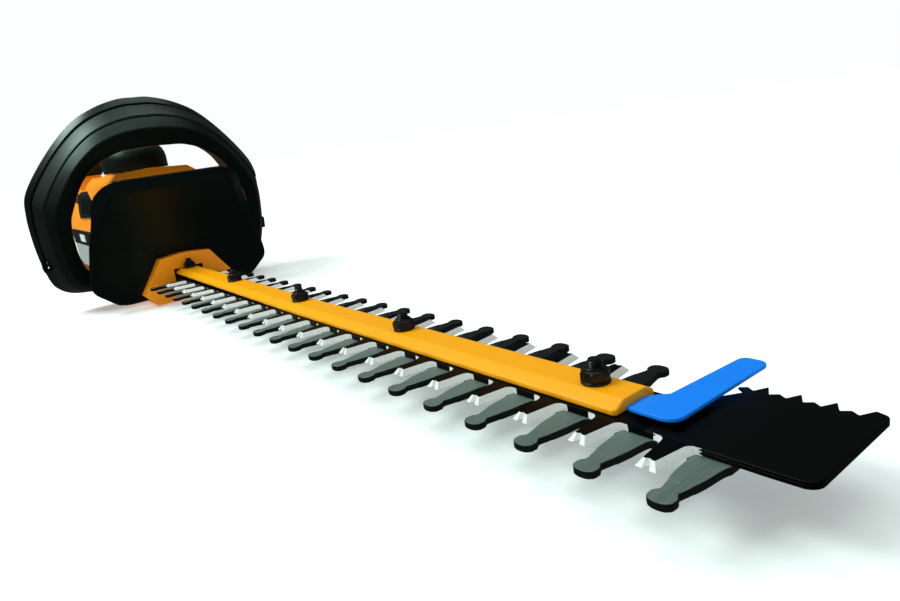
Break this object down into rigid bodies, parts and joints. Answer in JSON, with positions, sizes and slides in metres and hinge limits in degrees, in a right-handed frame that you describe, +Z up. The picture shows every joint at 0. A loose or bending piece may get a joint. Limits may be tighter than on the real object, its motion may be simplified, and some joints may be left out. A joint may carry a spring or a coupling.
{
  "type": "hedge trimmer",
  "caption": "Cordless hedge trimmer with a double-sided comb blade, sawing tip, hand guard, loop front handle with switch bar, and rear handle over a slide-on battery.",
  "frame": {"origin": "on the floor under the middle of the tool's box", "axes": "+X from the rear handle to the blade tip, +Y to the tool's left, +Z up"},
  "size_m": [1.0702, 0.2356, 0.2045],
  "materials": {
    "comb_steel": "brushed along the blade, dark phosphated",
    "cutter_steel": "ground bright on the bevels",
    "saw_steel": "black satin coating",
    "bar_paint": "smooth satin orange",
    "blue_plastic": "smooth moulded blue",
    "black_steel": "black oxide",
    "zinc_steel": "zinc plated",
    "cast_alloy": "die-cast alloy, fine grain",
    "gear_steel": "hobbed and hardened",
    "motor_steel": "plated can",
    "bearing_steel": "polished",
    "orange_plastic": "fine moulded grain",
    "black_plastic": "fine moulded grain",
    "satin_black": "satin moulded",
    "soft_black": "soft-touch overmould",
    "red_plastic": "smooth moulded red",
    "spring_steel": "drawn wire",
    "board": "solder resist",
    "battery_black": "fine moulded grain",
    "battery_grey": "smooth pale grey",
    "cell_can": "shrink sleeve",
    "badge": "blank pale plate",
    "felt": "pressed felt"
  },
  "bodies": {
    "root": {"finger_comb": "comb_steel", "blade_bar": "bar_paint", "branch_stop": "blue_plastic", "blade_bolts": "black_steel", "guide_bushes": "zinc_steel", "blade_nuts": "black_steel", "blade_mount_screws": "zinc_steel", "gear_case": "cast_alloy", "gear_cover": "cast_alloy", "gear_cover_screws": "zinc_steel", "gear_axle": "gear_steel", "motor_can": "motor_steel", "motor_bearings": "bearing_steel", "motor_screws": "zinc_steel", "housing_left": "orange_plastic", "housing_right": "orange_plastic", "housing_screws": "black_steel", "vent_left": "black_plastic", "vent_right": "black_plastic", "grip_cover_left": "soft_black", "grip_cover_right": "soft_black", "hand_guard": "black_plastic", "guard_screws": "black_steel", "loop_front": "black_plastic", "loop_back": "black_plastic", "loop_grip": "soft_black", "loop_screws": "zinc_steel", "trigger_pin": "zinc_steel", "trigger_spring": "spring_steel", "rear_switch": "black_plastic", "front_switch": "black_plastic", "control_board": "board", "terminal_block": "black_plastic", "blade_seal": "felt"},
    "cutter": {"cutter_blade": "cutter_steel", "saw_tip": "saw_steel", "saw_rivets": "saw_steel"},
    "gear": {"drive_gear": "gear_steel"},
    "rod": {"crank_rod": "gear_steel"},
    "armature": {"rotor": "motor_steel", "pinion": "gear_steel"},
    "switch_bar": {"front_switch_bar": "satin_black", "bail_pins": "zinc_steel"},
    "trigger": {"trigger": "red_plastic"},
    "battery": {"battery_top": "battery_black", "battery_bottom": "battery_grey", "battery_cells": "cell_can", "battery_board": "board", "battery_badge": "badge"},
    "latch": {"battery_latch": "red_plastic"}
  },
  "joints": [
    {"name": "cutter_slide", "type": "slide", "parent": "root", "child": "cutter", "axis": [1, 0, 0], "range_m": [0, 0.022]},
    {"name": "gear_spin", "type": "hinge", "parent": "root", "child": "gear", "pos_m": [-0.147, 0, 0.037], "axis": [0, 0, 1], "continuous": true},
    {"name": "rod_swing", "type": "hinge", "parent": "gear", "child": "rod", "pos_m": [-0.158, 0, 0.029], "axis": [0, 0, 1], "continuous": true},
    {"name": "armature_spin", "type": "hinge", "parent": "root", "child": "armature", "pos_m": [-0.183, 0, 0.062], "axis": [0, 0, 1], "continuous": true},
    {"name": "switch_bar_squeeze", "type": "hinge", "parent": "root", "child": "switch_bar", "pos_m": [-0.14769, 0, 0.05523], "axis": [0, 1, 0], "range_deg": [0, 1.8], "stiffness_Nm_per_rad": 20, "springref_deg": -1.15},
    {"name": "trigger_squeeze", "type": "hinge", "parent": "root", "child": "trigger", "pos_m": [-0.29, 0, 0.164], "axis": [0, 1, 0], "range_deg": [0, 8], "stiffness_Nm_per_rad": 1.5, "springref_deg": -2.86, "deforming": ["trigger_spring"]},
    {"name": "battery_slide", "type": "slide", "parent": "root", "child": "battery", "axis": [-1, 0, 0], "range_m": [0, 0.13]},
    {"name": "latch_press", "type": "slide", "parent": "battery", "child": "latch", "axis": [1, 0, 0], "range_m": [0, 0.003], "stiffness_N_per_m": 1500, "springref_m": -0.002}
  ],
  "couplings": [
    {"joint": "rod_swing", "follows": "gear_spin", "ratio": -1},
    {"joint": "armature_spin", "follows": "gear_spin", "ratio": -5}
  ]
}
